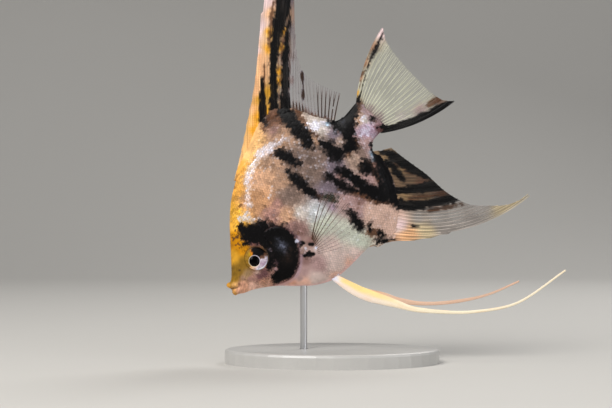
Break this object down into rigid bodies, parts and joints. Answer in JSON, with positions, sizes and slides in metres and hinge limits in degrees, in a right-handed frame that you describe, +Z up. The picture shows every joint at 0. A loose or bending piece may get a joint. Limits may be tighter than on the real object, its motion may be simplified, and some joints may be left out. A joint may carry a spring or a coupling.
{
  "type": "freshwater angelfish",
  "caption": "Still, life-size freshwater angelfish, nose down with tall fins and long trailing feelers, held by a slim rod on a flat oval display base.",
  "frame": {"origin": "on the floor under the middle of the part's bounding box", "axes": "+Z up, -X towards the fish's snout, -Y out of the fish's left side"},
  "size_m": [0.1069, 0.048, 0.143],
  "materials": {
    "skin": "scaled fish skin, tan and pink with black marbling and an orange brow, with a wet sheen",
    "fins": "ribbed fins, partly see-through, with black, orange and brown streaks",
    "feelers": "smooth, cream to pale yellow",
    "eyes": "clear glossy eye with a black pupil and a silver and olive iris",
    "rod": "drawn steel rod",
    "base": "satin pale grey"
  },
  "bodies": {
    "root": {"head": "skin", "lower_jaw": "skin", "trunk": "skin", "tail_stalk": "skin", "gill_cover_left": "skin", "gill_cover_right": "skin", "eye_left": "eyes", "eye_right": "eyes", "dorsal_fin": "fins", "anal_fin": "fins", "tail_fin": "fins", "pectoral_fin_left": "fins", "pectoral_fin_right": "fins", "pelvic_fin_left": "feelers", "pelvic_fin_right": "feelers", "stand_rod": "rod", "stand_base": "base"}
  },
  "joints": []
}
